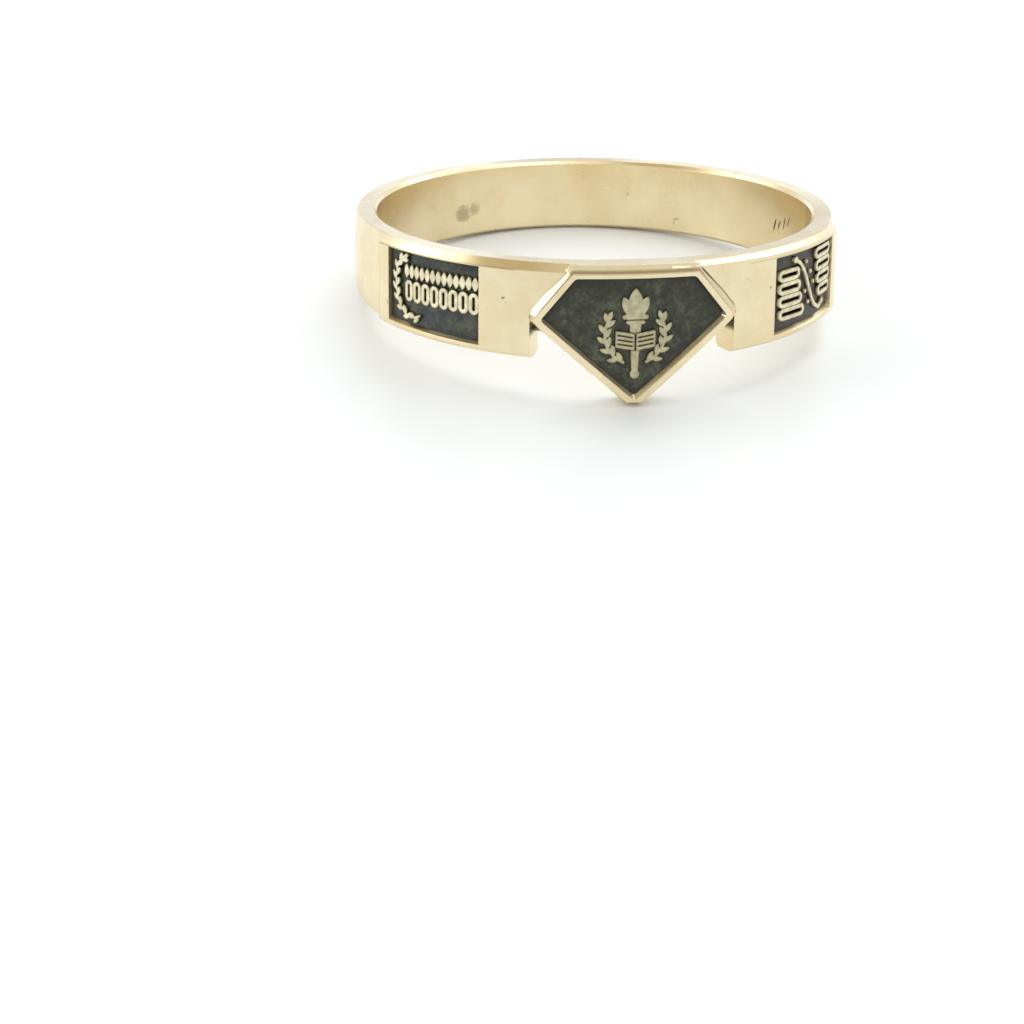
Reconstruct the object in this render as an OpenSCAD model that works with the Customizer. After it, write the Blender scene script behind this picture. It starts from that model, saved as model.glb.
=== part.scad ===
// Class ring of cast gold with three black-filled fields. It lies as it rests on a table: on the tip of
// its head and the lower edge of its back. All lengths are in millimetres, +Z is up, the head faces -Y.

/* [Band] */
// Diameter of the finger hole
finger_hole_d = 17.9; // [16.5:0.1:20.5]
// Thickest wall of the band, half way up its outside
band_wall = 0.93; // [0.85:0.01:1.1]
// How much the band's outside bulges between its edges
band_crown = 0.1; // [0.04:0.01:0.16]
// Height of the band under the head
band_front_h = 3.83; // [3.6:0.01:4.2]
// Height of the band at the back
band_back_h = 2.93; // [2.5:0.01:3.3]
// Bevel at both mouths of the finger hole
hole_bevel = 0.14; // [0.05:0.01:0.2]
// Bevel along the band's outer top edge
top_bevel = 0.07; // [0.03:0.01:0.12]
// Radius of the lower outer edge
lower_edge_r = 0.3; // [0.15:0.01:0.4]

/* [Shoulders] */
// How far the shoulders stand out from the band
shoulder_rise = 0.22; // [0.12:0.01:0.35]
// Angle between the head's middle and a shoulder's near end
shoulder_near_angle = 23.3; // [22:0.1:25]
// Angle between the head's middle and a shoulder's far end
shoulder_far_angle = 67; // [65:0.5:75]
// Height of the bevel on the left shoulder's top edge
left_bevel_h = 0.3; // [0.1:0.01:0.32]
// Height of the bevel on the right shoulder's top edge
right_bevel_h = 0.15; // [0.1:0.01:0.32]
// Width of the bevels on the shoulders' top edges
shoulder_bevel_w = 0.32; // [0.15:0.01:0.4]

/* [Shoulder panels] */
// Angle between the head's middle and a panel's near side
panel_near_angle = 35.5; // [33:0.1:37]
// Angle between the head's middle and a panel's far side
panel_far_angle = 63; // [58:0.1:64]
// Drop from the band's top to a panel's upper side
panel_drop = 0.33; // [0.33:0.01:0.5]
// Border between a panel and the band's lower face
panel_border = 0.28; // [0.25:0.01:0.8]
// Depth of the panels
panel_depth = 0.3; // [0.2:0.01:0.35]
// How far a panel's lower wall leans out from floor to mouth
panel_lean = 0.14; // [0.02:0.01:0.2]

/* [Head] */
// Radius of the head's curved face, seen from above
face_r = 15; // [13:0.5:22]
// How far the middle of the face stands out from the circle of the shoulders
face_rise = 0; // [0:0.01:0.2]
// Width of the face along its top edge, before its corners are rounded
face_top_w = 4.93; // [4.6:0.01:5.2]
// Width of the face between its side corners, before they are rounded
face_side_w = 8.01; // [7.8:0.01:8.3]
// Width of the blunt tip
face_tip_w = 0.6; // [0.4:0.01:0.9]
// Drop from the band's top to the face's top edge
face_top_drop = 0.26; // [0.2:0.01:0.35]
// Drop from the band's top to the side corners
face_side_drop = 2.21; // [2.1:0.01:2.4]
// Drop from the band's top to the tip
face_tip_drop = 5.44; // [5.2:0.01:5.8]
// Width of the bevel along the head's upper sides
head_bevel_w = 0.22; // [0.1:0.01:0.25]
// Width of the bevel along the head's lower sides and tip
low_bevel_w = 0.05; // [0.03:0.01:0.15]
// Depth of the bevel round the head's outside
head_bevel_d = 0.2; // [0.1:0.01:0.25]
// Width of the rim round the sunken field
rim_w = 0.24; // [0.18:0.01:0.4]
// Least width of the rim at the tip
least_tip_rim = 0.1; // [0.08:0.01:0.15]
// Depth of the sunken field
field_depth = 0.3; // [0.2:0.01:0.4]
// How far the field's lower walls lean out from floor to rim; the upper ones lean half as far
field_lean = 0.2; // [0.05:0.01:0.22]
// Rounding of the head's side corners
side_corner_r = 0.3; // [0.2:0.01:0.6]
// Rounding of the head's upper corners
top_corner_r = 0.5; // [0.2:0.01:0.6]

/* [Bridge behind the head] */
// Drop from the band's top to the ceiling of the cut between the shoulders
cut_drop = 2.2; // [2.1:0.01:2.3]
// Drop from the band's top to the bridge's lower edge
bridge_drop = 2.85; // [2.5:0.01:3]
// Wall of the bridge
bridge_wall = 0.4; // [0.3:0.01:0.6]

/* [Relief and black fill] */
// How far the relief on the head stays below its rim
crest_relief_sink = 0.07; // [0.04:0.01:0.12]
// How far the torch and the laurel stay below the open book
crest_relief_step = 0.06; // [0.02:0.01:0.08]
// How far the relief in the panels stays below the shoulders
panel_relief_sink = 0.06; // [0.04:0.01:0.12]
// Depth of the lines cut into the book's pages
page_line_depth = 0.05; // [0.02:0.01:0.08]
// Thickness of the black fill
fill_t = 0.08; // [0.04:0.01:0.1]
// Clearance between the fill and the gold
fill_gap = 0.015; // [0.01:0.005:0.03]

/* [Hidden] */
$fn = 96;

hole_r = finger_hole_d / 2;
crown_r = hole_r + band_wall;
shoulder_r = crown_r + shoulder_rise;
mid_h = (band_front_h + band_back_h) / 2;
bottom_a = atan2(band_front_h - band_back_h, 2 * crown_r);
dome_r = mid_h * mid_h / (8 * band_crown) + band_crown / 2;
top_r = crown_r - dome_r + sqrt(dome_r * dome_r - mid_h * mid_h / 4);
overlap = 0.02;

// The head's face is part of an upright cylinder whose axis passes through (0, face_cy).
face_y = -(shoulder_r + face_rise);
face_cy = face_y + face_r;
head_back_y = -(hole_r + overlap);
// Cutters and drawings reach this far past the outside
reach = 1.5;
far_y = face_y - 0.5;

// Rest: the tip's rear edge and the lower edge of the back both touch the table.
tip_low = face_tip_drop + low_bevel_w;
back_edge = [0, -mid_h] + (crown_r - lower_edge_r) * [cos(bottom_a), sin(bottom_a)];
tip_to_back = back_edge - [head_back_y, -tip_low];
rest_tilt = atan2(tip_to_back[1], tip_to_back[0]);
rest_lift = tip_low * cos(rest_tilt) + head_back_y * sin(rest_tilt);
front_reach = face_y * cos(rest_tilt) - face_tip_drop * sin(rest_tilt);
back_reach = top_r * cos(rest_tilt) - top_bevel * sin(rest_tilt);
rest_shift = -(front_reach + back_reach) / 2;

// Corners of the face, anticlockwise from the tip's right end, as [x, z].
face_corners = [[face_tip_w / 2, -face_tip_drop], [face_side_w / 2, -face_side_drop],
    [face_top_w / 2, -face_top_drop], [-face_top_w / 2, -face_top_drop],
    [-face_side_w / 2, -face_side_drop], [-face_tip_w / 2, -face_tip_drop]];
// What each edge gets, in the same order: the lower right, upper right, top, upper left, lower left, tip.
bevel_widths = [low_bevel_w, head_bevel_w, face_top_drop, head_bevel_w, low_bevel_w, low_bevel_w];
corner_radii = [0.12, side_corner_r, top_corner_r, top_corner_r, side_corner_r, 0.12];
// The sunken field has the same edges, but its lower end is pointed.
tip_point = face_tip_drop + face_tip_w * (face_tip_drop - face_side_drop) / (face_side_w - face_tip_w);
field_corners = [[0, -tip_point], for (k = [1:4]) face_corners[k]];
// Its rounding leaves the least rim at the blunt tip.
side_run = unit(face_corners[1] - face_corners[0])[0];
tip_r = ((least_tip_rim + tip_point - face_tip_drop) * side_run - rim_w) / (1 - side_run);
field_radii = [max(0.06, tip_r), for (k = [1:4]) corner_radii[k] / 2];
// How far each wall of the field leans, from the lower right one on
field_leans = [field_lean, field_lean / 2, field_lean / 2, field_lean / 2, field_lean];

panel_mid_a = (panel_near_angle + panel_far_angle) / 2;
panel_half_w = shoulder_r * sin((panel_far_angle - panel_near_angle) / 2);
panel_h = mid_h + shoulder_r * cos(panel_mid_a) * tan(bottom_a) - panel_border - panel_drop;
panel_floor_r = shoulder_r - panel_depth;

field_top = face_top_drop + rim_w + field_lean;
field_h = face_tip_drop - field_top - rim_w;

function unit(v) = v / norm(v);
function inward(p, q) = let (u = unit(q - p)) [-u[1], u[0]];
// Corner p between a and b once both of its edges have moved inward by d1 and d2
function moved(a, p, b, d1, d2) = let (m = inward(a, p), n = inward(p, b))
    p + [d1 * n[1] - d2 * m[1], d2 * m[0] - d1 * n[0]] / (m[0] * n[1] - m[1] * n[0]);
function inset(c, d) = let (n = len(c))
    [for (i = [0:n - 1]) let (h = (i + n - 1) % n) moved(c[h], c[i], c[(i + 1) % n], d[h], d[i])];
function corner_arc(a, p, b, r) =
    let (u = unit(a - p), v = unit(b - p), h = acos(u * v) / 2, c = p + unit(u + v) * r / sin(h),
         s = p + u * r / tan(h) - c, t = atan2(s[1], s[0]))
    [for (k = [0:5]) c + r * [cos(t + (180 - 2 * h) * k / 5), sin(t + (180 - 2 * h) * k / 5)]];
// Outline with rounded corners and five steps along every edge
function outline(c, radii) = let (n = len(c),
    arcs = [for (i = [0:n - 1]) corner_arc(c[(i + n - 1) % n], c[i], c[(i + 1) % n], radii[i])])
    [for (i = [0:n - 1]) let (p = arcs[i][5], q = arcs[(i + 1) % n][0])
        each concat(arcs[i], [for (k = [1:4]) p + (q - p) * k / 5])];
// Depth d under the face at the width x
function sheet_y(x, d) = face_cy - sqrt(pow(face_r - d, 2) - x * x);
function on_sheet(pts, d) = [for (p = pts) [p[0], sheet_y(p[0], d), p[1]]];
function on_plane(pts, y) = [for (p = pts) [p[0], y, p[1]]];

// Solid through sections with equal numbers of points, from the rearmost to the foremost
module loft(sections) {
    n = len(sections[0]);
    m = len(sections);
    share = [for (i = [0:n - 1]) 1 / n];
    middle = [for (k = [0, m - 1]) [for (j = [0:2]) share * [for (p = sections[k]) p[j]]]];
    polyhedron(points = concat([for (s = sections) each s], middle), faces = concat(
        [for (i = [0:n - 1]) [m * n, i, (i + 1) % n]],
        [for (k = [0:m - 2], i = [0:n - 1]) [k * n + i, (k + 1) * n + i, (k + 1) * n + (i + 1) % n]],
        [for (k = [0:m - 2], i = [0:n - 1]) [k * n + i, (k + 1) * n + (i + 1) % n, k * n + (i + 1) % n]],
        [for (i = [0:n - 1]) [m * n + 1, (m - 1) * n + (i + 1) % n, (m - 1) * n + i]]));
}

// Frame of the band's slanting lower face, with its middle as origin
module on_lower_face() { translate([0, 0, -mid_h]) rotate([bottom_a, 0, 0]) children(); }
// Turned body between two angles from the head's middle, positive to the right
module turned(a0, a1) { rotate([0, 0, a0 - 90]) rotate_extrude(angle = a1 - a0) children(); }
// Extrudes a drawing outward from the ring's middle, at angle a from the head's middle
module drawn_at(a, r0, r1) {
    rotate([0, 0, a]) rotate([90, 0, 0]) translate([0, 0, r0]) linear_extrude(height = r1 - r0) children();
}
// Everything between the depths d1 and d0 under the head's face
module face_shell(d0, d1) {
    translate([0, face_cy, -8]) difference() {
        cylinder(r = face_r - d0, h = 9);
        translate([0, 0, -1]) cylinder(r = face_r - d1, h = 11);
    }
}
module ring_shell(r0, r1) {
    translate([0, 0, -8]) difference() {
        cylinder(r = r1, h = 9);
        translate([0, 0, -1]) cylinder(r = r0, h = 11);
    }
}

// Small shapes of the relief. g widens them all round.
module dot(p, d, g = 0) { translate(p) circle(d = d + 2 * g, $fn = 16); }
// Half disc that faces along +X
module half_dot(r) {
    intersection() {
        circle(r = r, $fn = 16);
        translate([0, -2 * r]) square([2 * r, 4 * r]);
    }
}
// Bar with round ends from p to q
module bar(p, q, w, g = 0) {
    r = w / 2 + g;
    l = norm(q - p);
    translate(p) rotate(atan2(q[1] - p[1], q[0] - p[0])) {
        polygon([[0, -r], [l, -r], [l, r], [0, r]]);
        translate([l, 0]) half_dot(r);
        rotate(180) half_dot(r);
    }
}
// Leaf that starts at p and points in the direction a
module leaf(p, a, l, w, g = 0) {
    r = (l * l + w * w) / (4 * w);
    translate(p) rotate(a) translate([l / 2, 0]) intersection() {
        translate([0, r - w / 2]) circle(r = r + g, $fn = 24);
        translate([0, w / 2 - r]) circle(r = r + g, $fn = 24);
    }
}
// Points beside a line through pts, h to its left
function beside(pts, h) = let (n = len(pts) - 1)
    [for (i = [0:n]) let (u = unit(pts[max(i, 1)] - pts[max(i, 1) - 1]),
        v = unit(pts[min(i, n - 1) + 1] - pts[min(i, n - 1)]), m = unit(u + v))
        pts[i] + [-m[1], m[0]] * h / (m * v)];
// Line of the width w through pts
module line(pts, w, g = 0) {
    n = len(pts) - 1;
    ends = concat([pts[0] - unit(pts[1] - pts[0]) * g], [for (i = [1:n - 1]) pts[i]],
        [pts[n] + unit(pts[n] - pts[n - 1]) * g]);
    right = beside(ends, -w / 2 - g);
    left = beside(ends, w / 2 + g);
    polygon(concat(right, [for (i = [n:-1:0]) left[i]]));
}
// Spray: a stem through pts with leaves on alternate sides and one at its end
module spray(pts, l, w, stem, spread, g = 0) {
    n = len(pts) - 1;
    line(pts, stem, g);
    for (i = [0:n - 1]) {
        step = pts[i + 1] - pts[i];
        a = atan2(step[1], step[0]);
        leaf(pts[i] + 0.2 * step, a + spread, l, w, g);
        leaf(pts[i] + 0.6 * step, a - spread, l, w, g);
    }
    last = unit(pts[n] - pts[n - 1]);
    leaf(pts[n] - 0.2 * l * last, atan2(last[1], last[0]), l, w, g);
}
// Lying or upright oval, hollow unless it is a cut for the fill
module oval(p, w, h, line, g = 0, hollow = true) {
    d = min(w, h);
    half = w > h ? [(w - h) / 2, 0] : [0, (h - w) / 2];
    difference() {
        bar(p - half, p + half, d, g);
        if (hollow) bar(p - half, p + half, d - 2 * line, -g);
    }
}

// Angle between a leaf and its stem
leaf_spread = 31;

// Emblem on the head: a torch between two laurel sprays, with an open book. Shares of the field's height.
torch_bars = [[0.094, -0.300, 0.046], [0.068, -0.348, 0.036]]; // half length, height, width
laurel_angles = [-70, -50, -30, -10, 10, 30];
laurel_middle = -0.455;
laurel_r = 0.266;
page_w = 0.175;
page_h = 0.150;
page_mid = -0.520;
page_skew = 0.030;
function emblem(p) = [p[0] * field_h, -field_top + p[1] * field_h];
laurel_right = [for (a = laurel_angles) emblem([laurel_r * cos(a), laurel_middle + laurel_r * sin(a)])];

module torch_2d(g = 0) {
    leaf(emblem([0, -0.300]), 90, 0.255 * field_h, 0.125 * field_h, g);
    for (s = [-1, 1])
        leaf(emblem([s * 0.034, -0.300]), 90 - s * 22, 0.195 * field_h, 0.090 * field_h, g);
    for (b = torch_bars) bar(emblem([-b[0], b[1]]), emblem([b[0], b[1]]), b[2] * field_h, g);
    polygon([emblem([-0.054, -0.345]) - [g, 0], emblem([-0.030, -0.790]) - [g, 0],
             emblem([0.030, -0.790]) + [g, 0], emblem([0.054, -0.345]) + [g, 0]]);
    dot(emblem([0, -0.805]), 0.088 * field_h, g);
}
module laurel_2d(g = 0) {
    for (s = [0, 1]) mirror([s, 0])
        spray(laurel_right, 0.108 * field_h, 0.046 * field_h, 0.030 * field_h, leaf_spread, g);
}
module page_2d(g = 0) {
    polygon([emblem([0.004, page_mid - page_h / 2]) + [-g, -g],
             emblem([page_w, page_mid - page_h / 2 + page_skew]) + [g, -g],
             emblem([page_w, page_mid + page_h / 2 + page_skew]) + [g, g],
             emblem([0.004, page_mid + page_h / 2]) + [-g, g]]);
}
module book_2d(g = 0) { for (s = [0, 1]) mirror([s, 0]) page_2d(g); }
module page_lines_2d() {
    for (s = [0, 1], k = [-1, 0, 1]) mirror([s, 0])
        bar(emblem([0.028, page_mid + k * 0.038 + 0.004]),
            emblem([page_w - 0.024, page_mid + k * 0.038 + 0.026]), 0.013 * field_h);
    bar(emblem([0, page_mid - page_h / 2 + 0.01]), emblem([0, page_mid + page_h / 2 - 0.01]),
        0.015 * field_h);
}

// Left panel: a laurel spray and two rows of plain ornament. Shares of the panel's half width and height.
spray_left = [[-0.20, -0.80], [-0.42, -0.86], [-0.60, -0.80], [-0.72, -0.70], [-0.78, -0.57],
    [-0.80, -0.43], [-0.79, -0.29], [-0.73, -0.16], [-0.60, -0.09]];
bud_n = 13;
bud_step = 1.44 / (bud_n - 1);
loop_n = 8;
loop_step = 1.36 / (loop_n - 1);
// Right panel: two columns of ovals beside an S-shaped ribbon with dots.
ovals_right = [[-0.60, -0.27, 0.58], [-0.58, -0.44, 0.62], [-0.55, -0.61, 0.66], [-0.50, -0.78, 0.72],
    [0.54, -0.12, 0.68], [0.57, -0.29, 0.66], [0.60, -0.46, 0.62], [0.63, -0.63, 0.56]];
ribbon = [[-0.44, -0.10], [-0.30, -0.16], [-0.17, -0.27], [-0.07, -0.40], [0.02, -0.54], [0.12, -0.68],
    [0.25, -0.80], [0.42, -0.86], [0.56, -0.80]];
ribbon_dots = [[-0.10, -0.17], [0.05, -0.32], [0.16, -0.47], [-0.12, -0.56], [0.00, -0.72]];
function in_panel(p) = [p[0] * panel_half_w, -panel_drop + p[1] * panel_h];

module left_relief_2d(g = 0, hollow = true) {
    spray([for (p = spray_left) in_panel(p)], 0.135 * panel_h, 0.065 * panel_h, 0.028 * panel_h,
        leaf_spread, g);
    for (k = [0:bud_n - 1])
        leaf(in_panel([-0.52 + bud_step * k, -0.345]), 90, 0.190 * panel_h,
            0.95 * bud_step * panel_half_w, g);
    for (k = [0:loop_n - 1])
        oval(in_panel([-0.47 + loop_step * k, -0.505]), 0.95 * loop_step * panel_half_w, 0.285 * panel_h,
            0.054 * panel_h, g, hollow);
}
module right_relief_2d(g = 0, hollow = true) {
    for (o = ovals_right)
        oval(in_panel([o[0], o[1]]), o[2] * panel_half_w, 0.162 * panel_h, 0.056 * panel_h, g, hollow);
    line([for (p = ribbon) in_panel(p)], 0.052 * panel_h, g);
    dot(in_panel(ribbon[0]), 0.090 * panel_h, g);
    dot(in_panel(ribbon[len(ribbon) - 1]), 0.086 * panel_h, g);
    for (p = ribbon_dots) dot(in_panel(p), 0.055 * panel_h, g);
}

// Cutter that rounds the lower outer edge of a body with the outer radius r, in three steps, and bevels
// the hole's mouth
module lower_edges(r) {
    round = [for (a = [-90:30:0]) [r - lower_edge_r, lower_edge_r] + lower_edge_r * [cos(a), sin(a)]];
    low = 1.2 * round[0] - 0.2 * round[1];
    high = 1.2 * round[3] - 0.2 * round[2];
    on_lower_face() {
        translate([0, 0, -3]) cylinder(r = shoulder_r + 2, h = 3);
        rotate_extrude() polygon([[low[0], -1], [r + 1, -1], [r + 1, high[1]], high,
            round[2], round[1], low]);
        translate([0, 0, -overlap])
            cylinder(r1 = hole_r + hole_bevel + overlap, r2 = hole_r - 0.2, h = hole_bevel + 0.2 + overlap);
    }
}
// Cutter between the shoulders, under the ceiling of the cut
module shoulder_gap() {
    turned(-shoulder_near_angle, shoulder_near_angle) translate([hole_r - 1, -8]) square([4, 8 - cut_drop]);
}
module band() {
    difference() {
        rotate_extrude() difference() {
            intersection() {
                translate([hole_r, -band_front_h - 1]) square([2 * band_wall, band_front_h + 1]);
                translate([crown_r - dome_r, -mid_h / 2]) circle(r = dome_r, $fn = 240);
            }
            polygon([[hole_r - 1, 1], [hole_r + hole_bevel + 1, 1], [hole_r - 1, -hole_bevel - 1]]);
            polygon([[top_r + 1, 1], [top_r - top_bevel - 1, 1], [top_r + 1, -top_bevel - 1]]);
        }
        lower_edges(crown_r);
        shoulder_gap();
    }
}
module shoulder(s, bevel_h) {
    a0 = s > 0 ? 8 : -shoulder_far_angle;
    difference() {
        turned(a0, a0 + shoulder_far_angle - 8) difference() {
            translate([hole_r + band_wall / 2, -band_front_h - 1])
                square([shoulder_r - hole_r - band_wall / 2, band_front_h + 1]);
            polygon([[shoulder_r - 2 * shoulder_bevel_w, bevel_h],
                [shoulder_r + shoulder_bevel_w, -2 * bevel_h], [shoulder_r + shoulder_bevel_w, bevel_h]]);
        }
        lower_edges(shoulder_r + 2 * overlap);
        shoulder_gap();
    }
}
// Room of a panel from its floor outward, set in by g all round
module panel_space(a0, g = 0) {
    da = panel_far_angle - panel_near_angle;
    ga = g / panel_floor_r * 180 / PI;
    intersection() {
        turned(a0 + ga, a0 + da - ga) translate([panel_floor_r + g, -8]) square([2, 8 - panel_drop - g]);
        on_lower_face() translate([0, 0, panel_border + g]) rotate_extrude()
            polygon([[panel_floor_r - panel_depth, 2 * panel_lean],
                [panel_floor_r + 4 * panel_depth, -3 * panel_lean],
                [panel_floor_r + 4 * panel_depth, 8], [panel_floor_r - panel_depth, 8]]);
    }
}

module head_blank(g = 0) {
    base = outline(inset(face_corners, [for (w = bevel_widths) g - w]), corner_radii * 1.3);
    ahead = outline(inset(face_corners, [for (w = bevel_widths) g + w]), corner_radii * 0.7);
    loft([on_plane(base, head_back_y - g), on_sheet(base, head_bevel_d), on_sheet(ahead, -head_bevel_d),
        on_plane(ahead, far_y)]);
}
// Room between the field's leaning walls, set in by g all round
module field_room(g = 0) {
    low = outline(inset(field_corners, [for (e = field_leans) g + rim_w + 1.5 * e]), field_radii);
    high = outline(inset(field_corners, [for (e = field_leans) g + rim_w - 0.4 * e]), field_radii);
    loft([on_plane(low, head_back_y), on_sheet(low, 1.5 * field_depth), on_sheet(high, -0.4 * field_depth),
        on_plane(high, far_y)]);
}
module head() {
    intersection() {
        head_blank();
        translate([0, face_cy, -8]) cylinder(r = face_r, h = 9);
    }
}
module field_pocket() {
    difference() {
        field_room();
        translate([0, face_cy, -8]) cylinder(r = face_r - field_depth, h = 9);
    }
}
module crest_relief() {
    root = field_depth + 2 * overlap;
    intersection() {
        drawn_at(0, hole_r + 0.2, shoulder_r + reach) { torch_2d(); laurel_2d(); }
        face_shell(crest_relief_sink + crest_relief_step, root);
    }
    difference() {
        intersection() {
            drawn_at(0, hole_r + 0.2, shoulder_r + reach) book_2d();
            face_shell(crest_relief_sink, root);
        }
        intersection() {
            drawn_at(0, hole_r + 0.2, shoulder_r + reach) page_lines_2d();
            face_shell(-0.1, crest_relief_sink + page_line_depth);
        }
    }
}
module panel_relief(a) {
    intersection() {
        drawn_at(a, panel_floor_r * cos((panel_far_angle - panel_near_angle) / 2) - 1, shoulder_r + reach)
            children();
        ring_shell(panel_floor_r - overlap, shoulder_r - panel_relief_sink);
    }
}

module shank_upright() {
    difference() {
        union() {
            band();
            difference() {
                union() {
                    shoulder(-1, left_bevel_h);
                    shoulder(1, right_bevel_h);
                }
                head_blank(overlap);
            }
            turned(-shoulder_near_angle - 0.5, shoulder_near_angle + 0.5)
                translate([hole_r, -bridge_drop]) square([bridge_wall, bridge_drop - 1]);
            head();
        }
        field_pocket();
        panel_space(-panel_far_angle);
        panel_space(panel_near_angle);
    }
    crest_relief();
    panel_relief(-panel_mid_a) left_relief_2d();
    panel_relief(panel_mid_a) right_relief_2d();
}
module crest_fill_upright() {
    difference() {
        intersection() {
            field_room(fill_gap);
            face_shell(field_depth - fill_gap - fill_t, field_depth - fill_gap);
        }
        drawn_at(0, hole_r, shoulder_r + reach) {
            torch_2d(fill_gap);
            laurel_2d(fill_gap);
            book_2d(fill_gap);
        }
    }
}
module panel_fill_upright(s) {
    difference() {
        intersection() {
            panel_space(s > 0 ? panel_near_angle : -panel_far_angle, fill_gap);
            ring_shell(hole_r, panel_floor_r + fill_gap + fill_t);
        }
        drawn_at(s * panel_mid_a, hole_r, shoulder_r + reach) children();
    }
}
// Sets the upright ring down on its tip and the lower edge of its back
module at_rest() { translate([0, rest_shift, rest_lift]) rotate([-rest_tilt, 0, 0]) children(); }

module shank() { color([0.86, 0.76, 0.52]) at_rest() shank_upright(); }
module crest_enamel() { color([0.24, 0.25, 0.22]) at_rest() crest_fill_upright(); }
module left_panel_enamel() {
    color([0.20, 0.23, 0.25]) at_rest() panel_fill_upright(-1) left_relief_2d(fill_gap, false);
}
module right_panel_enamel() {
    color([0.27, 0.24, 0.27]) at_rest() panel_fill_upright(1) right_relief_2d(fill_gap, false);
}

shank();
crest_enamel();
left_panel_enamel();
right_panel_enamel();
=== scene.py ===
"""Finishes the class ring: polished gold with a darkened relief, its black fills and a plain pale stage."""

import functools
import math

import bmesh
import bpy
from mathutils import Matrix, Vector

bl_info = {
    "name": "Class ring finish",
    "version": (1, 1, 0),
    "blender": (4, 5, 0),
    "location": "View3D > Sidebar > Class Ring",
    "description": "Finishes the gold casting and its black fills, and sets the stage",
    "category": "Object",
}

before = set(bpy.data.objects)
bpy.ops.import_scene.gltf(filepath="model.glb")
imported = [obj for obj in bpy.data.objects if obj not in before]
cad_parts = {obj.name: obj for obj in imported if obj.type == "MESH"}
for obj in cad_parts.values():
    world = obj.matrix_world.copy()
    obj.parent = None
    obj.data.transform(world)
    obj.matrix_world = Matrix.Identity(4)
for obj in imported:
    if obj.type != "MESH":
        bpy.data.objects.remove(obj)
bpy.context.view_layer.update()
MM = 0.001

# Where the ring lies: its hole leans back by this angle, and its middle is shifted and lifted
REST_TILT = math.radians(7.81883)
REST_SHIFT = 0.533306 * MM
REST_LIFT = 4.21867 * MM
RING_TO_TABLE = Matrix.Translation((0.0, REST_SHIFT, REST_LIFT)) @ Matrix.Rotation(-REST_TILT, 4, "X")

# Forms of the casting that the finish follows, in millimetres and degrees in the upright ring's frame
SHOULDER_R = 10.10
PANEL_FLOOR_R = 9.80
PANEL_MIDDLE, PANEL_HALF = 49.25, 13.75
PANEL_TOP = -0.33
MIDDLE_H = 3.38
LOWER_SLOPE = 0.04554
FACE_AXIS_Y, FACE_R = 4.9, 15.0
FACE_SIDE = (4.005, -2.21)
FACE_TIP = (0.30, -5.44)
FACE_TOP = (2.465, -0.26)
RIM_W = 0.24
HOLE_R = 8.95
# The border under a panel, and the widths of the lower walls of field and panels, which stay bright
PANEL_LOWER_BORDER = 0.28
FIELD_LOWER_WALL_W = 0.22
PANEL_LOWER_WALL_W = 0.13
# How far below the flat top the painted shade line under the shoulders' bevelled top edge runs
TOP_LINE_DROP = 0.30
# Where the painted shade line in the crease between the head's bevel and a shoulder runs: its distance
# inside the face's outline at the ring's middle, what that loses with each millimetre sideways, and the
# least it comes to
CREASE_START, CREASE_SLOPE, CREASE_LEAST = 0.19, 0.118, -0.22
# The pockets of painted shade under the joints lie between these angles from the head's middle
POCKET_FROM, POCKET_TO = 20.3, 23.5
# The painted reflection, a deeper tone on the hole's wall, sets in, is full, starts to fade and ends at
# these angles
REFLECTION_ANGLES = (85.0, 105.0, 118.0, 140.0)

# How far corner darkening reaches, patina in fields and painted shade elsewhere; rays that feel for edges
# and corners
CORNER_DARK_REACH = 0.20 * MM
FEELER_RAYS = 8
# Two sets of fine scratches: the turn of the pattern in radians, and how dense it is each way
SCRATCHES = ((0.35, (0.9, 26.0, 9.0)), (-0.9, (22.0, 1.1, 9.0)))
FILL_IOR = 1.45
TABLE_ROUGHNESS, TABLE_IOR = 0.32, 1.4

# Small marks of wear outside: angle from the head's middle, height, width, length, turn, darkness
OUTER_MARKS = (
    (-29.58, -1.46, 0.17, 0.10, 20.0, 0.75), (-28.9, -1.62, 0.06, 0.05, 0.0, 0.45),
    (33.92, -1.44, 0.08, 0.11, 0.0, 0.65), (-63.5, -2.61, 0.07, 0.22, 10.0, 0.55),
    (27.2, -0.95, 0.04, 0.30, 62.0, 0.22), (-25.6, -2.35, 0.03, 0.34, -55.0, 0.22),
)
# Marks and short scratches on the hole's wall, with the same values in the same order
INNER_MARKS = (
    (-149.9, -1.98, 0.80, 0.80, 0.0, 0.42), (-153.7, -1.84, 0.56, 0.56, 0.0, 0.32),
    (160.8, -1.42, 0.18, 0.13, 0.0, 0.28), (146.5, -2.37, 0.26, 0.14, 0.0, 0.30),
    (147.2, -2.52, 0.10, 0.30, 0.0, 0.22),
    (110.5, -1.72, 0.12, 0.66, 20.0, 0.85), (108.2, -1.60, 0.12, 0.54, 27.0, 0.75),
    (105.6, -1.46, 0.12, 0.62, 16.0, 0.80), (103.2, -1.34, 0.12, 0.50, 24.0, 0.75),
)
# How much painted shade the flat top takes, by the share of a turn from the ring's back; over 1 is darker
# than the setting
TOP_PAINTED_SHADE = (
    (0.0, 1.4), (0.025, 1.2), (0.06, 0.0), (0.17, 0.0), (0.21, 0.55), (0.29, 0.55), (0.34, 0.0),
    (0.385, 0.1), (0.43, 0.85), (0.73, 0.95), (0.775, 0.1), (0.93, 0.0), (0.965, 1.0), (1.0, 1.4),
)

# The camera in the upright ring's frame: its place in millimetres, and its picture's right, down and ahead
CAMERA_PLACE = (-20.338827, -119.672366, 27.781808)
CAMERA_RIGHT = (0.9903769, -0.1381717, 0.0078822)
CAMERA_DOWN = (-0.0369505, -0.3188778, -0.9470753)
CAMERA_AHEAD = (0.1333725, 0.9376703, -0.3209147)

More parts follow.
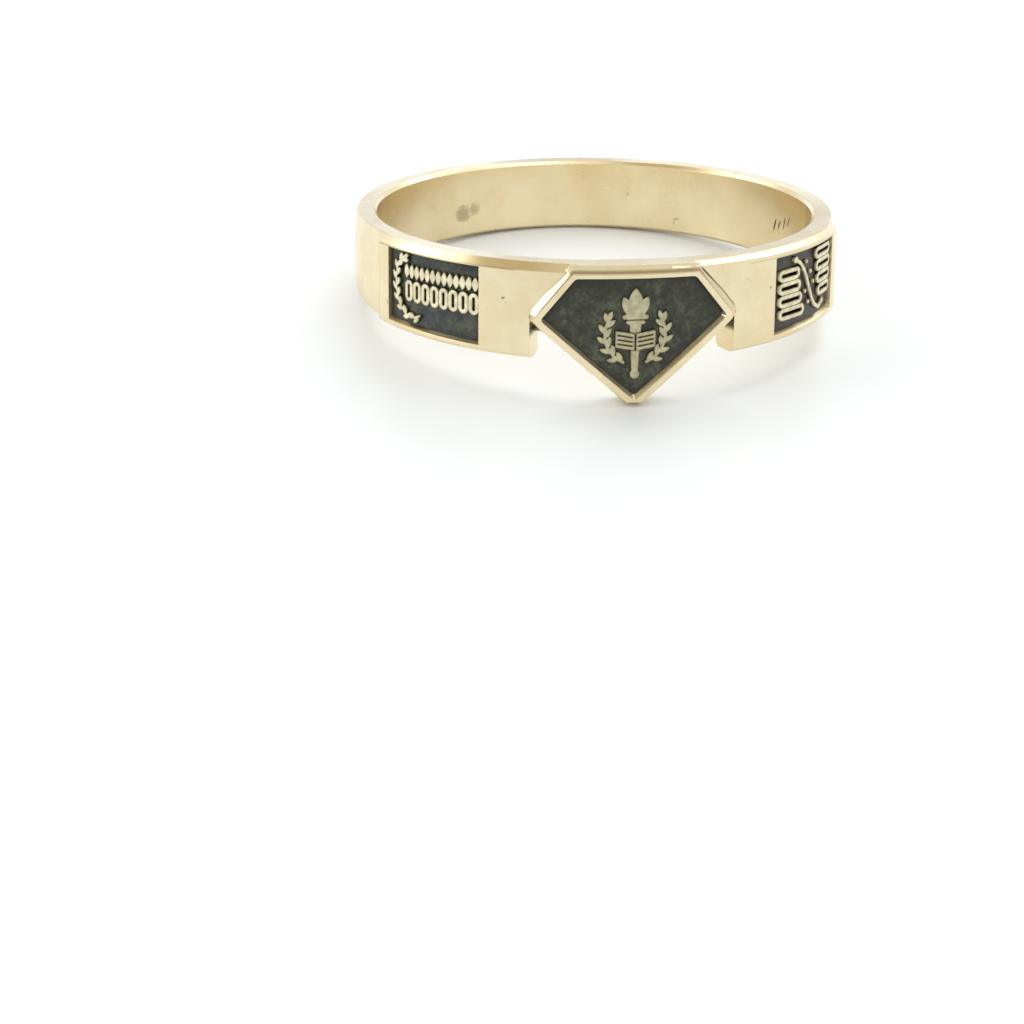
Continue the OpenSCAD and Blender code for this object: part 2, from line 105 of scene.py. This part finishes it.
# The pale room: its colours by height, its colour high behind the ring, and its colour low behind the ring
ROOM_COLOURS = (
    (0.0, (0.72, 0.715, 0.70)), (0.22, (0.88, 0.88, 0.875)), (0.45, (0.90, 0.90, 0.90)),
    (0.75, (0.92, 0.92, 0.91)), (0.92, (0.82, 0.82, 0.77)),
)
BACK_COLOUR = (0.97, 0.975, 0.97)
BACK_LOW_COLOUR = (1.13, 1.24, 1.38)
# The dim, warm patch of ceiling, overhead and a little to the left
CEILING_WAY = (-0.39, 0.15, 0.91)
CEILING_COLOUR = (0.50, 0.42, 0.24)
# Lamps: name, then place, width and height in metres, then the setting with the power and the share of it
LAMPS = (
    ("left_back_softbox", (-0.165, 0.145, 0.205), 0.15, 0.13, "back_light", 0.75),
    ("right_back_softbox", (0.15, 0.18, 0.185), 0.17, 0.13, "back_light", 1.0),
    ("top_softbox", (0.045, 0.075, 0.26), 0.20, 0.14, "top_light", 1.0),
    ("side_softbox", (-0.27, -0.03, 0.12), 0.12, 0.10, "side_light", 1.0),
)


class GoldSettings(bpy.types.PropertyGroup):
    colour: bpy.props.FloatVectorProperty(
        name="Gold", description="Colour of the polished pale yellow gold",
        default=(0.885, 0.765, 0.515), size=3, subtype="COLOR", min=0.0, max=1.0)
    worn_colour: bpy.props.FloatVectorProperty(
        name="Worn gold", description="Colour of the gold in its duller patches",
        default=(0.84, 0.70, 0.445), size=3, subtype="COLOR", min=0.0, max=1.0)
    relief_low: bpy.props.FloatVectorProperty(
        name="Relief flanks", description="Colour of the flanks and hollows of the head's relief",
        default=(0.17, 0.148, 0.085), size=3, subtype="COLOR", min=0.0, max=1.0)
    relief_high: bpy.props.FloatVectorProperty(
        name="Relief tops", description="Colour of the rubbed tops of the head's relief",
        default=(0.60, 0.555, 0.355), size=3, subtype="COLOR", min=0.0, max=1.0)
    panel_low: bpy.props.FloatVectorProperty(
        name="Panel flanks", description="Colour of the flanks of the relief in the panels",
        default=(0.34, 0.27, 0.155), size=3, subtype="COLOR", min=0.0, max=1.0)
    panel_high: bpy.props.FloatVectorProperty(
        name="Panel tops", description="Colour of the rubbed tops of the relief in the panels",
        default=(0.93, 0.86, 0.61), size=3, subtype="COLOR", min=0.0, max=1.0)
    # Painted reflection: the deeper gold at both sides of the hole's wall
    painted_reflection_colour: bpy.props.FloatVectorProperty(
        name="Deep gold", description="Colour of the gold at both sides of the hole's wall",
        default=(0.74, 0.57, 0.31), size=3, subtype="COLOR", min=0.0, max=1.0)
    # Painted shade: the colour of the fine lines round the rim and under the top edge
    shade_line_colour: bpy.props.FloatVectorProperty(
        name="Fine lines", description="Colour of the fine lines round the rim and under the top edge",
        default=(0.33, 0.235, 0.11), size=3, subtype="COLOR", min=0.0, max=1.0)
    # Painted shade: what the darker stretches of the flat top keep of the gold's colour
    top_shade_colour: bpy.props.FloatVectorProperty(
        name="Dull top", description="What the dull stretches of the flat top keep of the gold's colour",
        default=(0.75, 0.69, 0.62), size=3, subtype="COLOR", min=0.0, max=1.0)
    # Also the colour of the painted shade in corners, in the crease and in the pockets under the joints
    grime_and_shade_colour: bpy.props.FloatVectorProperty(
        name="Grime", description="Colour of what has settled in the corners",
        default=(0.085, 0.066, 0.034), size=3, subtype="COLOR", min=0.0, max=1.0)
    well_colour: bpy.props.FloatVectorProperty(
        name="Wells", description="Colour of the floor inside the ovals of the panels",
        default=(0.040, 0.042, 0.038), size=3, subtype="COLOR", min=0.0, max=1.0)
    roughness: bpy.props.FloatProperty(
        name="Roughness", description="Roughness of the polished gold",
        default=0.24, min=0.0, max=1.0, subtype="FACTOR")
    relief_roughness: bpy.props.FloatProperty(
        name="Relief roughness", description="Roughness of the darkened relief",
        default=0.42, min=0.0, max=1.0, subtype="FACTOR")
    edge_radius: bpy.props.FloatProperty(
        name="Edge radius", description="Rounding of the polished edges",
        default=0.05 * MM, min=0.0, subtype="DISTANCE", unit="LENGTH")
    relief_radius: bpy.props.FloatProperty(
        name="Relief radius", description="Rounding of the relief's edges",
        default=0.12 * MM, min=0.0, subtype="DISTANCE", unit="LENGTH")
    scratch_strength: bpy.props.FloatProperty(
        name="Scratches", description="Strength of the fine scratches",
        default=0.10, min=0.0, max=1.0, subtype="FACTOR")


class FillSettings(bpy.types.PropertyGroup):
    crest_colour: bpy.props.FloatVectorProperty(
        name="Head fill", description="Colour of the black fill on the head",
        default=(0.038, 0.042, 0.025), size=3, subtype="COLOR", min=0.0, max=1.0)
    left_colour: bpy.props.FloatVectorProperty(
        name="Left fill", description="Colour of the black fill in the left panel",
        default=(0.043, 0.050, 0.046), size=3, subtype="COLOR", min=0.0, max=1.0)
    right_colour: bpy.props.FloatVectorProperty(
        name="Right fill", description="Colour of the black fill in the right panel",
        default=(0.060, 0.050, 0.049), size=3, subtype="COLOR", min=0.0, max=1.0)
    bared_colour: bpy.props.FloatVectorProperty(
        name="Thin fill", description="Colour where the fill is worn thin",
        default=(0.108, 0.111, 0.073), size=3, subtype="COLOR", min=0.0, max=1.0)
    roughness: bpy.props.FloatProperty(
        name="Roughness", description="Roughness of the black fill",
        default=0.44, min=0.0, max=1.0, subtype="FACTOR")


class StageSettings(bpy.types.PropertyGroup):
    floor_radius: bpy.props.FloatProperty(
        name="Floor radius", description="Radius of the round table top",
        default=0.6, subtype="DISTANCE", unit="LENGTH")
    floor_colour: bpy.props.FloatVectorProperty(
        name="Table", description="Colour of the table top",
        default=(0.925, 0.96, 0.985), size=3, subtype="COLOR", min=0.0, max=1.0)
    focal_length: bpy.props.FloatProperty(
        name="Focal length", description="Focal length of the camera, in millimetres",
        default=105.47)
    sensor_width: bpy.props.FloatProperty(
        name="Sensor width", description="Width of the camera's sensor, in millimetres",
        default=36.0)
    room_light: bpy.props.FloatProperty(
        name="Room light", description="Strength of the soft light from all round", default=0.965)
    back_light: bpy.props.FloatProperty(
        name="Back lights", description="Power of the stronger of the two lamps high behind, in watts",
        default=0.11)
    top_light: bpy.props.FloatProperty(
        name="Top light", description="Power of the lamp overhead, in watts", default=0.15)
    side_light: bpy.props.FloatProperty(
        name="Side light", description="Power of the lamp at the left, in watts", default=0.092)


class NodeGraph:
    """Adds the nodes of one material or world; an input is a number, a colour or another node's output."""

    def __init__(self, owner):
        owner.use_nodes = True
        self.tree = owner.node_tree
        self.tree.nodes.clear()

    def add(self, kind, feeds=None, **values):
        node = self.tree.nodes.new(kind)
        for key, value in values.items():
            setattr(node, key, value)
        for key, value in (feeds or {}).items():
            self.feed(node.inputs[key], value)
        return node

    def feed(self, socket, value):
        if isinstance(value, bpy.types.NodeSocket):
            self.tree.links.new(value, socket)
        elif socket.type == "RGBA":
            socket.default_value = tuple(value)[:3] + (1.0,)
        else:
            socket.default_value = value

    def math(self, operation, a, b=0.0, clamp=False):
        node = self.add("ShaderNodeMath", {0: a}, operation=operation, use_clamp=clamp)
        self.feed(node.inputs[1], b)
        return node.outputs[0]

    def times(self, *values):
        product = values[0]
        for value in values[1:]:
            product = self.math("MULTIPLY", product, value)
        return product

    def blend(self, share, a, b, kind="MIX"):
        node = self.add("ShaderNodeMix", data_type="RGBA", blend_type=kind)
        self.feed(node.inputs[0], share)
        self.feed(node.inputs[6], a)
        self.feed(node.inputs[7], b)
        return node.outputs[2]

    def soft_step(self, value, low, high, first=0.0, last=1.0):
        """Goes smoothly from first to last while value goes from low to high."""
        return self.add(
            "ShaderNodeMapRange",
            {"Value": value, "From Min": low, "From Max": high, "To Min": first, "To Max": last},
            interpolation_type="SMOOTHSTEP").outputs[0]

    def noise(self, vector, scale, detail=2.0, roughness=0.5):
        return self.add("ShaderNodeTexNoise", {
            "Vector": vector, "Scale": scale, "Detail": detail, "Roughness": roughness}).outputs[0]

    def ramp(self, share, stops):
        node = self.add("ShaderNodeValToRGB", {0: share})
        elements = node.color_ramp.elements
        while len(elements) > 1:
            elements.remove(elements[-1])
        for k, (place, colour) in enumerate(stops):
            stop = elements[0] if k == 0 else elements.new(place)
            stop.position = place
            stop.color = tuple(colour)[:3] + (1.0,)
        return node.outputs[0]

    def vector(self, x, y, z):
        return self.add("ShaderNodeCombineXYZ", {0: x, 1: y, 2: z}).outputs[0]

    def laid(self, vector, location=(0, 0, 0), rotation=(0, 0, 0), scale=(1, 1, 1)):
        return self.add("ShaderNodeMapping", {
            "Vector": vector, "Location": location, "Rotation": rotation, "Scale": scale}).outputs[0]

    def bump(self, height, strength, distance, normal=None):
        feeds = {"Height": height, "Strength": strength, "Distance": distance}
        if normal is not None:
            feeds["Normal"] = normal
        return self.add("ShaderNodeBump", feeds).outputs[0]


class RingPlaces:
    """Where a point of the surface lies in the upright ring's frame, in millimetres and degrees."""

    def __init__(self, graph):
        self.graph = graph
        place = graph.add("ShaderNodeTexCoord").outputs["Object"]
        home = Matrix.Rotation(REST_TILT, 3, "X") @ Vector((0.0, REST_SHIFT, REST_LIFT)) / -MM
        self.point = graph.laid(place, location=home, rotation=(REST_TILT, 0.0, 0.0), scale=(1000.0,) * 3)
        split = graph.add("ShaderNodeSeparateXYZ", {0: self.point})
        self.x, self.y, self.z = split.outputs

    @functools.cached_property
    def radius(self):
        """Distance from the ring's axis."""
        return self.flat_length(self.x, self.y)

    @functools.cached_property
    def angle(self):
        """Angle round the ring's axis from the head's middle, positive at the right."""
        turn = self.graph.math("ARCTAN2", self.x, self.graph.math("MULTIPLY", self.y, -1.0))
        return self.graph.math("MULTIPLY", turn, math.degrees(1.0))

    @functools.cached_property
    def wide(self):
        """Distance sideways from the ring's middle."""
        return self.graph.math("ABSOLUTE", self.x)

    def flat_length(self, x, y):
        return self.graph.add(
            "ShaderNodeVectorMath", {0: self.graph.vector(x, y, 0.0)}, operation="LENGTH").outputs["Value"]

    def beyond_line(self, p, q):
        """Distance to the left of the line from p to q, on the head's face with its two halves folded."""
        g = self.graph
        along = Vector((q[0] - p[0], q[1] - p[1])).normalized()
        part_x = g.math("MULTIPLY", g.math("SUBTRACT", self.wide, p[0]), -along[1])
        part_z = g.math("MULTIPLY", g.math("SUBTRACT", self.z, p[1]), along[0])
        return g.math("ADD", part_x, part_z)

    def face_margin(self, lower_wall=0.0):
        """Distance inward from the outline of the head's face, less along the lower sides where asked."""
        g = self.graph
        lower = g.math("SUBTRACT", self.beyond_line(FACE_TIP, FACE_SIDE), lower_wall)
        upper = self.beyond_line(FACE_SIDE, FACE_TOP)
        top = g.math("SUBTRACT", FACE_TOP[1], self.z)
        return g.math("MINIMUM", g.math("MINIMUM", lower, upper), top)

    def face_depth(self):
        """Depth under the head's curved face."""
        g = self.graph
        out = self.flat_length(self.x, g.math("SUBTRACT", self.y, FACE_AXIS_Y))
        return g.math("SUBTRACT", FACE_R, out)

    def in_field(self):
        """The head's sunken field, without its lower walls, which stay bright."""
        g = self.graph
        margin = self.face_margin(FIELD_LOWER_WALL_W)
        depth = self.face_depth()
        # Inside the rim, from just under the face to past the floor, and on the front alone
        return g.times(
            g.soft_step(margin, RIM_W - 0.07, RIM_W - 0.02), g.soft_step(depth, 0.015, 0.05),
            g.soft_step(depth, 0.60, 0.70, 1.0, 0.0), g.soft_step(self.y, -8.5, -8.0, 1.0, 0.0))

    def panel_margin(self, lower_wall=0.0):
        """Distance inward from the outline of a shoulder's panel, less along its lower side where asked."""
        g = self.graph
        off = g.math("ABSOLUTE", g.math("SUBTRACT", g.math("ABSOLUTE", self.angle), PANEL_MIDDLE))
        side = g.math("MULTIPLY", g.math("SUBTRACT", PANEL_HALF, off), math.radians(SHOULDER_R))
        top = g.math("SUBTRACT", PANEL_TOP, self.z)
        low = g.math("ADD", g.math("ADD", self.z, MIDDLE_H - PANEL_LOWER_BORDER - lower_wall),
                     g.math("MULTIPLY", self.y, -LOWER_SLOPE))
        return g.math("MINIMUM", g.math("MINIMUM", side, top), low)

    def in_panel(self):
        """The two sunken panels, without their lower walls, which stay bright."""
        g = self.graph
        return g.times(
            g.soft_step(self.panel_margin(PANEL_LOWER_WALL_W), -0.02, 0.02),
            g.soft_step(self.radius, SHOULDER_R - 0.05, SHOULDER_R - 0.02, 1.0, 0.0),
            g.soft_step(self.radius, PANEL_FLOOR_R - 0.2, PANEL_FLOOR_R - 0.1))

    @functools.cached_property
    def round_head(self):
        """The ring's front round the head, down to the head's side corners."""
        g = self.graph
        return g.times(g.soft_step(self.y, -9.1, -8.9, 1.0, 0.0), g.soft_step(self.z, -2.35, -2.2))

    def on_shoulders(self):
        """The round outside of the shoulders."""
        return self.graph.soft_step(self.radius, SHOULDER_R - 0.10, SHOULDER_R - 0.05)

    def on_hole_wall(self, share=1.0):
        """The wall of the finger hole, with the given share on it."""
        return self.graph.soft_step(self.radius, HOLE_R + 0.10, HOLE_R + 0.20, share, 0.0)

    def marks(self, radius, table, ragged):
        """Share of darkening by a table of small marks on a round wall, with its seam at the ring's back."""
        g = self.graph
        wall = g.vector(g.math("MULTIPLY", self.angle, math.radians(radius)), self.z, 0.0)
        total = 0.0
        for angle, height, width, length, turn, darkness in table:
            sized = g.add("ShaderNodeMapping", {
                "Vector": wall, "Location": (math.radians(angle) * radius, height, 0.0),
                "Rotation": (0.0, 0.0, math.radians(turn)), "Scale": (width / 2, length / 2, 1.0)},
                vector_type="TEXTURE").outputs[0]
            away = g.add("ShaderNodeVectorMath", {0: sized}, operation="LENGTH").outputs["Value"]
            frayed = g.math("ADD", away, ragged)
            total = g.math("MAXIMUM", total, g.soft_step(frayed, 0.55, 1.15, darkness, 0.0))
        return total


def painted_crease_shade(g, at, margin):
    """Painted shade in the crease where the head's bevel meets the shoulders, strong at the right and faint
    at the left.
    """
    runs_at = g.math("SUBTRACT", CREASE_START, g.math("MULTIPLY", at.wide, CREASE_SLOPE))
    runs_at = g.math("MAXIMUM", CREASE_LEAST, runs_at)
    off = g.math("ABSOLUTE", g.math("SUBTRACT", margin, runs_at))
    # A thin line, between two distances sideways, fainter lower down and much fainter at the left
    return g.times(
        g.soft_step(off, 0.01, 0.05, 1.0, 0.0),
        g.soft_step(at.wide, 2.5, 2.65), g.soft_step(at.wide, 3.95, 4.08, 1.0, 0.0),
        g.soft_step(at.z, -1.0, -0.5, 0.6, 1.0), g.soft_step(at.x, -1.0, 1.0, 0.22, 0.95),
        at.round_head)


def painted_pocket_shade(g, at, margin):
    """Painted shade in the pockets under the joints of the head and the shoulders."""
    side = g.math("ABSOLUTE", at.angle)
    # Between two angles, at the height of the joints' undersides, and only outside the head's face
    return g.times(
        g.soft_step(side, POCKET_FROM, POCKET_FROM + 1.0),
        g.soft_step(side, POCKET_TO - 0.1, POCKET_TO, 1.0, 0.0),
        g.soft_step(at.z, -3.0, -2.7), g.soft_step(at.z, -2.15, -1.95, 1.0, 0.0),
        g.soft_step(margin, -0.10, -0.02, 1.0, 0.0), 0.95)


def painted_shade_lines(g, at, margin):
    """Painted shade: brown lines round the head's rim, widest along its top, and under the shoulders' top
    edge.
    """
    half_width = g.soft_step(at.wide, 2.2, 2.8, 0.13, 0.045)
    # Fainter towards the side corners, and at the right
    round_rim = g.times(
        g.soft_step(g.math("ABSOLUTE", margin), 0.015, half_width, 1.0, 0.0),
        g.soft_step(at.z, -2.0, -1.6, 0.35, 0.85), g.soft_step(at.x, 2.2, 3.2, 1.0, 0.35),
        at.round_head)
    # Stronger at the left, and not on the head
    under_top = g.times(
        g.soft_step(g.math("ABSOLUTE", g.math("ADD", at.z, TOP_LINE_DROP)), 0.01, 0.05, 1.0, 0.0),
        at.on_shoulders(), g.soft_step(at.x, -4.0, 4.0, 0.5, 0.25), g.math("SUBTRACT", 1.0, at.round_head))
    return g.math("MAXIMUM", round_rim, under_top)


def polished_tint(g, at, margin, patches, settings):
    """Polished gold: duller patches, a painted reflection at both sides of the hole's wall, painted shade
    lines, and painted shade on the flat top.
    """
    gold = g.blend(g.soft_step(patches, 0.36, 0.64), settings.worn_colour, settings.colour)
    side = g.math("ABSOLUTE", at.angle)
    # Painted reflection: a deeper, warmer gold at both sides of the hole's wall, where it reflects the gold
    # across the hole
    deep = g.times(
        at.on_hole_wall(0.35), g.soft_step(side, *REFLECTION_ANGLES[:2]),
        g.soft_step(side, *REFLECTION_ANGLES[2:], 1.0, 0.0))
    gold = g.blend(deep, gold, settings.painted_reflection_colour)
    gold = g.blend(painted_shade_lines(g, at, margin), gold, settings.shade_line_colour)
    # Painted shade on the flat top: darker at the back and along the front, full gold between
    turn = g.math("ADD", g.math("DIVIDE", at.angle, 360.0), 0.5)
    rubbed = g.ramp(turn, [
        (place, [1.0 - share * (1.0 - c) for c in settings.top_shade_colour]) for place, share in TOP_PAINTED_SHADE])
    return g.blend(g.soft_step(at.z, -0.04, -0.01), gold, rubbed, "MULTIPLY")


def relief_tint(g, in_panel, rounded, cast, settings):
    """Cast relief: rubbed tops, with dark flanks where the rounded edge turns away from the face."""
    flat = g.add("ShaderNodeNewGeometry").outputs["Normal"]
    match = g.add("ShaderNodeVectorMath", {0: rounded, 1: flat}, operation="DOT_PRODUCT").outputs["Value"]
    flank = g.soft_step(match, 0.70, 0.985, 1.0, 0.0)
    hollow = g.math("SUBTRACT", g.math("MULTIPLY", flank, 0.8),
                    g.soft_step(cast, 0.35, 0.65, -0.35, 0.0), clamp=True)
    return g.blend(hollow, g.blend(in_panel, settings.relief_high, settings.panel_high),
                   g.blend(in_panel, settings.relief_low, settings.panel_low))


def wear_marks(g, at):
    """Small pits and scratches outside, and stains and scratches on the hole's wall."""
    ragged = g.math("MULTIPLY", g.math("SUBTRACT", g.noise(at.point, 9.0, 3.0, 0.6), 0.5), 1.6)
    outer = g.times(at.marks(SHOULDER_R, OUTER_MARKS, ragged), at.on_shoulders())
    inner = g.times(at.marks(HOLE_R, INNER_MARKS, ragged), at.on_hole_wall())
    return g.math("MAXIMUM", outer, inner)


def gold_skin(g, at, antique, rounded, cast, marks, settings):
    """Soft waviness of hand polishing, an uneven cast skin on the relief, fine scratches and pits."""
    normal = g.bump(g.noise(at.point, 0.9), 0.20, 0.02 * MM, rounded)
    normal = g.bump(cast, g.math("MULTIPLY", antique, 0.8), 0.05 * MM, normal)
    grain = g.noise(at.point, 14.0, 3.0)
    normal = g.bump(grain, g.math("MULTIPLY", antique, 0.5), 0.012 * MM, normal)
    for turn, stretch in SCRATCHES:
        lines = g.noise(g.laid(at.point, rotation=(0.0, turn, turn), scale=stretch), 1.0, 3.0)
        normal = g.bump(lines, settings.scratch_strength, 0.004 * MM, normal)
    return g.bump(g.math("SUBTRACT", 1.0, marks), 0.6, 0.03 * MM, normal)


def ring_gold(settings):
    """Pale yellow gold: polished and finely worn outside, darkened and dull in the three sunken fields."""
    material = bpy.data.materials.new("pale_yellow_gold")
    g = NodeGraph(material)
    at = RingPlaces(g)
    gloss = g.add("ShaderNodeBsdfPrincipled")
    gloss.inputs["Metallic"].default_value = 1.0
    g.add("ShaderNodeOutputMaterial", {"Surface": gloss.outputs[0]})

    margin = at.face_margin()
    in_panel = at.in_panel()
    antique = g.math("MAXIMUM", at.in_field(), in_panel)
    patches = g.noise(at.point, 0.42, 5.0, 0.55)
    cast = g.noise(at.point, 3.2, 4.0, 0.6)
    marks = wear_marks(g, at)

    # Dark patina in the corners of the fields, and painted shade in other corners, in the crease and in the
    # pockets
    corner = g.add(
        "ShaderNodeAmbientOcclusion", {"Distance": CORNER_DARK_REACH}, samples=FEELER_RAYS).outputs["AO"]
    patina_and_shade = g.times(g.soft_step(corner, 0.42, 0.92, 1.0, 0.0), g.math("MAXIMUM", antique, 0.15))
    patina_and_shade = g.math("MAXIMUM", patina_and_shade, painted_crease_shade(g, at, margin))
    patina_and_shade = g.math("MAXIMUM", patina_and_shade, painted_pocket_shade(g, at, margin))
    marks_patina_and_shade = g.math("MAXIMUM", marks, patina_and_shade)

    # Rounded edges: wide and soft on the relief, narrow and bright outside
    radius = g.soft_step(antique, 0.4, 0.6, settings.edge_radius, settings.relief_radius)
    rounded = g.add("ShaderNodeBevel", {"Radius": radius}, samples=FEELER_RAYS).outputs[0]

    tint = g.blend(antique, polished_tint(g, at, margin, patches, settings),
                   relief_tint(g, in_panel, rounded, cast, settings))
    # Wear marks, patina in the fields and painted shade in corners, crease and pockets all take the grime
    # colour
    tint = g.blend(marks_patina_and_shade, tint, settings.grime_and_shade_colour)
    in_well = g.times(
        in_panel, g.soft_step(at.radius, PANEL_FLOOR_R + 0.07, PANEL_FLOOR_R + 0.11, 1.0, 0.0))
    tint = g.blend(in_well, tint, settings.well_colour)
    g.feed(gloss.inputs["Base Color"], tint)

    dull = g.soft_step(patches, 0.30, 0.70, settings.roughness + 0.06, settings.roughness - 0.03)
    dull = g.math("ADD", dull, g.math("MULTIPLY", antique, settings.relief_roughness - settings.roughness))
    dull = g.math("ADD", dull, g.math("MULTIPLY", marks_patina_and_shade, 0.15), clamp=True)
    g.feed(gloss.inputs["Roughness"], dull)
    g.feed(gloss.inputs["Normal"], gold_skin(g, at, antique, rounded, cast, marks, settings))
    return material


def black_fill(name, colour, settings, on_head):
    """Mottled dark fill: darkest along its borders, worn thin in cloudy patches, with an uneven skin."""
    material = bpy.data.materials.new(name)
    g = NodeGraph(material)
    at = RingPlaces(g)
    skin = g.add("ShaderNodeBsdfPrincipled")
    skin.inputs["IOR"].default_value = FILL_IOR
    g.add("ShaderNodeOutputMaterial", {"Surface": skin.outputs[0]})

    margin = g.math("SUBTRACT", at.face_margin(), RIM_W) if on_head else at.panel_margin()
    clouds = g.noise(at.point, 1.5, 3.0, 0.55)
    specks = g.noise(at.point, 5.0, 5.0, 0.65)
    worn = g.math("ADD", g.math("MULTIPLY", clouds, 0.5), g.math("MULTIPLY", specks, 0.5))
    worn = g.math("ADD", worn, g.soft_step(margin, 0.0, 0.45, -0.10, 0.0))
    deep = tuple(c * 0.5 for c in colour)
    tint = g.blend(g.soft_step(worn, 0.36, 0.49), deep, tuple(colour))
    tint = g.blend(g.soft_step(worn, 0.46, 0.62, 0.0, 0.9), tint, settings.bared_colour)
    g.feed(skin.inputs["Base Color"], tint)
    g.feed(skin.inputs["Roughness"], g.soft_step(
        worn, 0.35, 0.65, settings.roughness - 0.08, settings.roughness + 0.12))
    normal = g.bump(specks, 0.35, 0.02 * MM)
    normal = g.bump(g.noise(at.point, 18.0, 3.0), 0.30, 0.01 * MM, normal)
    g.feed(skin.inputs["Normal"], normal)
    return material


def finish_node(name, material):
    """Gives every face of a CAD node its finished material."""
    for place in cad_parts[name].material_slots:
        place.material = material


class RING_OT_gold_casting(bpy.types.Operator):
    """Finish the gold casting: band, shoulders, head and relief"""

    bl_idname = "class_ring.gold_casting"
    bl_label = "Gold casting"

    def execute(self, context):
        finish_node("shank", ring_gold(context.scene.ring_gold))
        return {"FINISHED"}


class RING_OT_black_fills(bpy.types.Operator):
    """Finish the black fills of the head and of both panels"""

    bl_idname = "class_ring.black_fills"
    bl_label = "Black fills"

    def execute(self, context):
        settings = context.scene.ring_fills
        for node, name, colour in (
            ("crest_enamel", "head_fill", settings.crest_colour),
            ("left_panel_enamel", "left_panel_fill", settings.left_colour),
            ("right_panel_enamel", "right_panel_fill", settings.right_colour),
        ):
            finish_node(node, black_fill(name, colour, settings, node == "crest_enamel"))
        return {"FINISHED"}


class RING_OT_stage(bpy.types.Operator):
    """Set the table top, the lights and the camera"""

    bl_idname = "class_ring.stage"
    bl_label = "Stage"

    def table_top(self, scene, settings):
        shape = bmesh.new()
        bmesh.ops.create_circle(shape, cap_ends=True, segments=96, radius=settings.floor_radius)
        mesh = bpy.data.meshes.new("table_top")
        shape.to_mesh(mesh)
        shape.free()
        floor = bpy.data.objects.new("table_top", mesh)
        scene.collection.objects.link(floor)
        material = bpy.data.materials.new("table_white")
        g = NodeGraph(material)
        white = g.add("ShaderNodeBsdfPrincipled", {"Base Color": settings.floor_colour})
        white.inputs["Roughness"].default_value = TABLE_ROUGHNESS
        white.inputs["IOR"].default_value = TABLE_IOR
        g.add("ShaderNodeOutputMaterial", {"Surface": white.outputs[0]})
        mesh.materials.append(material)

    def room(self, scene, settings):
        world = bpy.data.worlds.new("studio")
        g = NodeGraph(world)
        sky = g.add("ShaderNodeTexCoord").outputs["Generated"]
        way = g.add("ShaderNodeSeparateXYZ", {0: sky})
        around = g.ramp(way.outputs["Z"], ROOM_COLOURS)
        back = g.blend(g.soft_step(way.outputs["Z"], 0.15, 0.35), BACK_LOW_COLOUR, BACK_COLOUR)
        tone = g.blend(g.soft_step(way.outputs["Y"], 0.2, 0.7), around, back)
        overhead = g.add("ShaderNodeVectorMath", {
            0: sky, 1: Vector(CEILING_WAY).normalized()}, operation="DOT_PRODUCT").outputs["Value"]
        tone = g.blend(g.soft_step(overhead, 0.91, 0.975), tone, CEILING_COLOUR)
        glow = g.add("ShaderNodeBackground", {"Color": tone, "Strength": settings.room_light})
        g.add("ShaderNodeOutputWorld", {"Surface": glow.outputs[0]})
        scene.world = world

    def lamp(self, scene, name, place, width, height, power):
        light = bpy.data.lights.new(name, "AREA")
        light.shape = "RECTANGLE"
        light.size, light.size_y = width, height
        light.energy = power
        holder = bpy.data.objects.new(name, light)
        holder.location = place
        holder.rotation_euler = (-Vector(place)).to_track_quat("-Z", "Y").to_euler()
        scene.collection.objects.link(holder)

    def camera(self, scene, settings):
        camera = bpy.data.cameras.new("camera")
        camera.sensor_width = settings.sensor_width
        camera.lens = settings.focal_length
        camera.clip_start, camera.clip_end = 0.005, 5.0
        holder = bpy.data.objects.new("camera", camera)
        turn = Matrix((CAMERA_RIGHT, -Vector(CAMERA_DOWN), -Vector(CAMERA_AHEAD))).transposed().to_4x4()
        holder.matrix_world = RING_TO_TABLE @ Matrix.Translation(Vector(CAMERA_PLACE) * MM) @ turn
        scene.collection.objects.link(holder)
        scene.camera = holder

    def execute(self, context):
        scene, settings = context.scene, context.scene.ring_stage
        self.table_top(scene, settings)
        self.room(scene, settings)
        for name, place, width, height, power, share in LAMPS:
            self.lamp(scene, name, place, width, height, getattr(settings, power) * share)
        self.camera(scene, settings)
        scene.view_settings.view_transform = "Standard"
        return {"FINISHED"}


class RING_PT_panel(bpy.types.Panel):
    bl_idname = "RING_PT_panel"
    bl_label = "Class ring"
    bl_space_type = "VIEW_3D"
    bl_region_type = "UI"
    bl_category = "Class Ring"

    def draw(self, context):
        for title, settings, operator in (
            ("Gold", context.scene.ring_gold, "class_ring.gold_casting"),
            ("Black fills", context.scene.ring_fills, "class_ring.black_fills"),
            ("Stage", context.scene.ring_stage, "class_ring.stage"),
        ):
            box = self.layout.box()
            box.label(text=title)
            for name in settings.__annotations__:
                box.prop(settings, name)
            box.operator(operator)


CLASSES = (
    GoldSettings, FillSettings, StageSettings,
    RING_OT_gold_casting, RING_OT_black_fills, RING_OT_stage, RING_PT_panel,
)


def register():
    for cls in CLASSES:
        bpy.utils.register_class(cls)
    bpy.types.Scene.ring_gold = bpy.props.PointerProperty(type=GoldSettings)
    bpy.types.Scene.ring_fills = bpy.props.PointerProperty(type=FillSettings)
    bpy.types.Scene.ring_stage = bpy.props.PointerProperty(type=StageSettings)


def unregister():
    del bpy.types.Scene.ring_stage
    del bpy.types.Scene.ring_fills
    del bpy.types.Scene.ring_gold
    for cls in reversed(CLASSES):
        bpy.utils.unregister_class(cls)


def main():
    register()
    bpy.ops.class_ring.gold_casting()
    bpy.ops.class_ring.black_fills()
    bpy.ops.class_ring.stage()
    bpy.context.view_layer.update()


if __name__ == "__main__":
    main()
